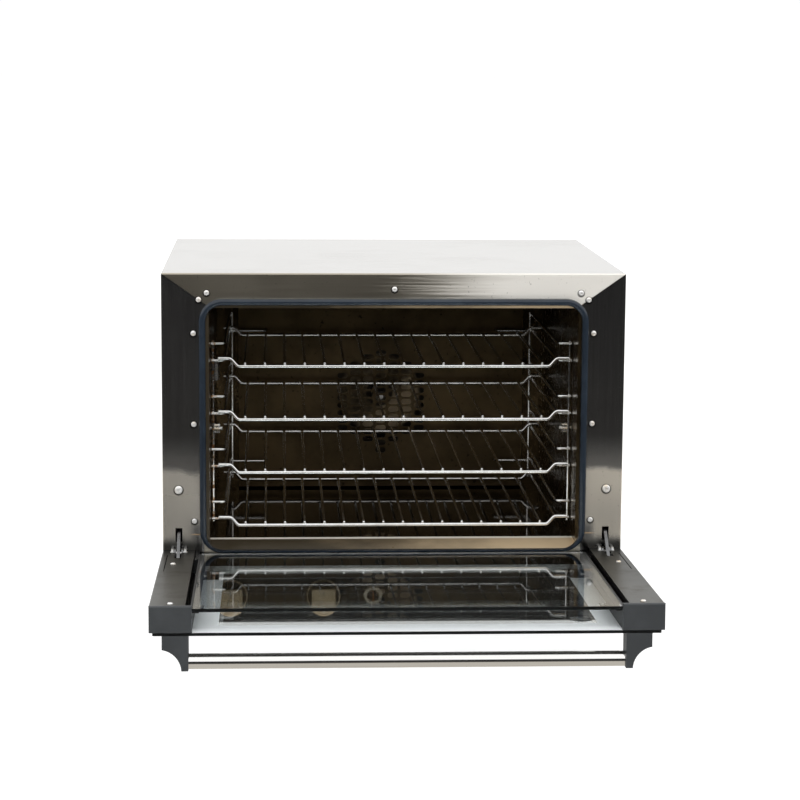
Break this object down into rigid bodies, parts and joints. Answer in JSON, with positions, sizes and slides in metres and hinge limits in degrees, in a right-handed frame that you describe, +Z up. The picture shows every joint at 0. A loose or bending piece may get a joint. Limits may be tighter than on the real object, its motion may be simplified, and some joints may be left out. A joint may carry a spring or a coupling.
{
  "type": "convection oven",
  "caption": "Countertop convection oven with a drop-down double-glass door, bar handle, wire shelves on side racks, a perforated fan guard and a knob panel under the door.",
  "frame": {"origin": "middle of the footprint with the door open, on the worktop under the feet", "axes": "+X to the right seen from the front, +Y to the back, +Z up"},
  "size_m": [0.6, 0.8886, 0.472],
  "materials": {
    "casing_steel": "brushed stainless sheet",
    "panel_black": "satin black panel",
    "plated_sheet": "plated sheet",
    "chamber_steel": "stainless chamber sheet",
    "gasket_rubber": "soft silicone",
    "chrome_wire": "chromed wire",
    "fan_metal": "pressed sheet",
    "bright_steel": "bright steel",
    "heater_steel": "heat-darkened tube",
    "motor_paint": "black motor can",
    "mineral_wool": "mineral wool",
    "black_plastic": "textured black plastic",
    "knob_plastic": "glossy dark knob",
    "lamp_lens": "dark red lens",
    "handle_steel": "polished stainless bar",
    "clear_glass": "clear tempered glass",
    "foot_rubber": "black rubber",
    "vent_steel": "stainless tube"
  },
  "bodies": {
    "cabinet": {"outer_casing": "casing_steel", "lower_front_rail": "casing_steel", "base_pan": "plated_sheet", "control_panel": "panel_black", "back_cover": "plated_sheet", "back_cover_screws": "bright_steel", "chamber_liner": "chamber_steel", "chamber_back_plate": "chamber_steel", "door_gasket": "gasket_rubber", "fan_guard": "chamber_steel", "motor_mounting_plate": "plated_sheet", "fan_motor": "motor_paint", "heating_elements": "heater_steel", "insulation": "mineral_wool", "steam_vent_pipe": "vent_steel", "cable_gland": "black_plastic", "terminal_block": "black_plastic", "left_side_rack": "chrome_wire", "right_side_rack": "chrome_wire", "rack_fasteners": "bright_steel", "probe_sleeve": "bright_steel", "front_frame_screws": "bright_steel", "left_hinge_bracket": "plated_sheet", "right_hinge_bracket": "plated_sheet", "hinge_pins": "bright_steel", "timer_body": "black_plastic", "thermostat_body": "black_plastic", "pilot_lamp_bezel": "bright_steel", "pilot_lamp": "lamp_lens", "feet": "foot_rubber"},
    "door": {"outer_glass": "clear_glass", "inner_glass": "clear_glass", "left_door_profile": "casing_steel", "right_door_profile": "casing_steel", "left_glass_rail": "black_plastic", "right_glass_rail": "black_plastic", "door_bottom_rail": "casing_steel", "left_end_cap": "black_plastic", "right_end_cap": "black_plastic", "door_screws": "bright_steel", "left_handle_bracket": "black_plastic", "right_handle_bracket": "black_plastic", "handle_bar": "handle_steel", "left_hinge_leaf": "plated_sheet", "right_hinge_leaf": "plated_sheet", "arm_rivets": "bright_steel"},
    "left_arm": {"left_stay_arm": "plated_sheet"},
    "right_arm": {"right_stay_arm": "plated_sheet"},
    "shelf_1": {"wire_shelf_1": "chrome_wire"},
    "shelf_2": {"wire_shelf_2": "chrome_wire"},
    "shelf_3": {"wire_shelf_3": "chrome_wire"},
    "shelf_4": {"wire_shelf_4": "chrome_wire"},
    "fan": {"fan_wheel": "fan_metal", "fan_shaft": "bright_steel", "fan_nut": "bright_steel"},
    "timer_dial": {"timer_knob": "knob_plastic", "timer_spindle": "bright_steel"},
    "thermostat_dial": {"thermostat_knob": "knob_plastic", "thermostat_spindle": "bright_steel"}
  },
  "joints": [
    {"name": "door_hinge", "type": "hinge", "parent": "cabinet", "child": "door", "pos_m": [0, -0.08721, 0.1075], "axis": [-1, 0, 0], "range_deg": [0, 87.8]},
    {"name": "left_arm_pivot", "type": "hinge", "parent": "door", "child": "left_arm", "pos_m": [-0.279, -0.11755, 0.09916], "axis": [-1, 0, 0], "range_deg": [-35, 0]},
    {"name": "right_arm_pivot", "type": "hinge", "parent": "door", "child": "right_arm", "pos_m": [0.279, -0.11755, 0.09916], "axis": [-1, 0, 0], "range_deg": [-35, 0]},
    {"name": "shelf_1_slide", "type": "slide", "parent": "cabinet", "child": "shelf_1", "axis": [0, 1, 0], "range_m": [-0.3, 0]},
    {"name": "shelf_2_slide", "type": "slide", "parent": "cabinet", "child": "shelf_2", "axis": [0, 1, 0], "range_m": [-0.3, 0]},
    {"name": "shelf_3_slide", "type": "slide", "parent": "cabinet", "child": "shelf_3", "axis": [0, 1, 0], "range_m": [-0.3, 0]},
    {"name": "shelf_4_slide", "type": "slide", "parent": "cabinet", "child": "shelf_4", "axis": [0, 1, 0], "range_m": [-0.3, 0]},
    {"name": "fan_spin", "type": "hinge", "parent": "cabinet", "child": "fan", "pos_m": [0, 0.33129, 0.2515], "axis": [0, 1, 0], "continuous": true},
    {"name": "timer_turn", "type": "hinge", "parent": "cabinet", "child": "timer_dial", "pos_m": [-0.212, -0.07871, 0.0425], "axis": [0, 1, 0], "range_deg": [0, 300]},
    {"name": "thermostat_turn", "type": "hinge", "parent": "cabinet", "child": "thermostat_dial", "pos_m": [-0.091, -0.07871, 0.0425], "axis": [0, 1, 0], "range_deg": [0, 270]}
  ],
  "couplings": [
    {"joint": "left_arm_pivot", "follows": "door_hinge", "ratio": -0.39},
    {"joint": "right_arm_pivot", "follows": "door_hinge", "ratio": -0.39}
  ]
}
